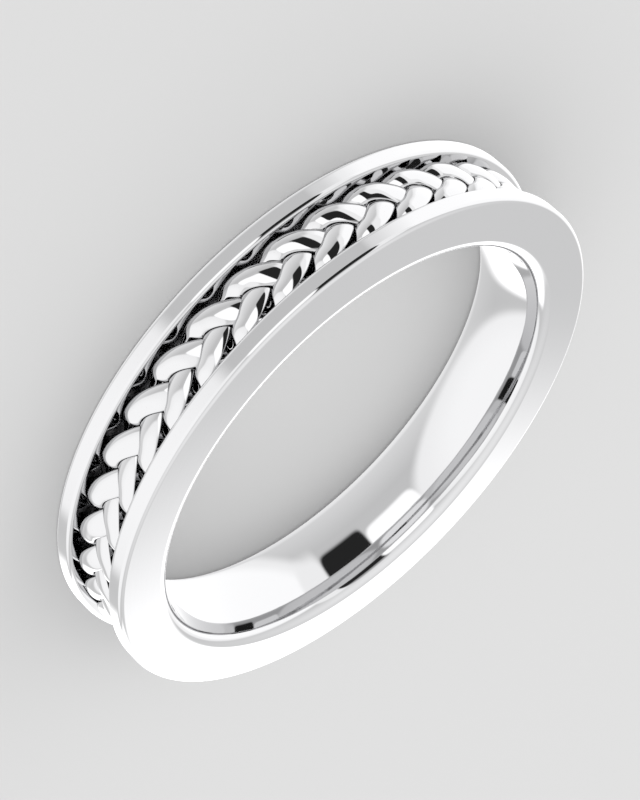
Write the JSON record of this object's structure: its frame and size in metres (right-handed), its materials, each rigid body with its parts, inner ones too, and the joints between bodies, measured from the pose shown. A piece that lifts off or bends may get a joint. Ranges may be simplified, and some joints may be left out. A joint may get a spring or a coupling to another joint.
{
  "type": "braided band ring",
  "caption": "Polished white metal finger ring: a wide band with a channel round its outside that holds a flat braid of wires between smooth rails.",
  "frame": {"origin": "centre of the ring on the surface it lies on, in the plane of its lower side face", "axes": "+Z along the finger hole, away from the surface; +X and +Y round the ring, a quarter turn apart"},
  "size_m": [0.0242, 0.024, 0.004],
  "materials": {
    "band_metal": "polished white gold",
    "braid_metal": "polished white gold"
  },
  "bodies": {
    "root": {"band": "band_metal", "strand_1": "braid_metal", "strand_2": "braid_metal", "strand_3": "braid_metal"}
  },
  "joints": []
}
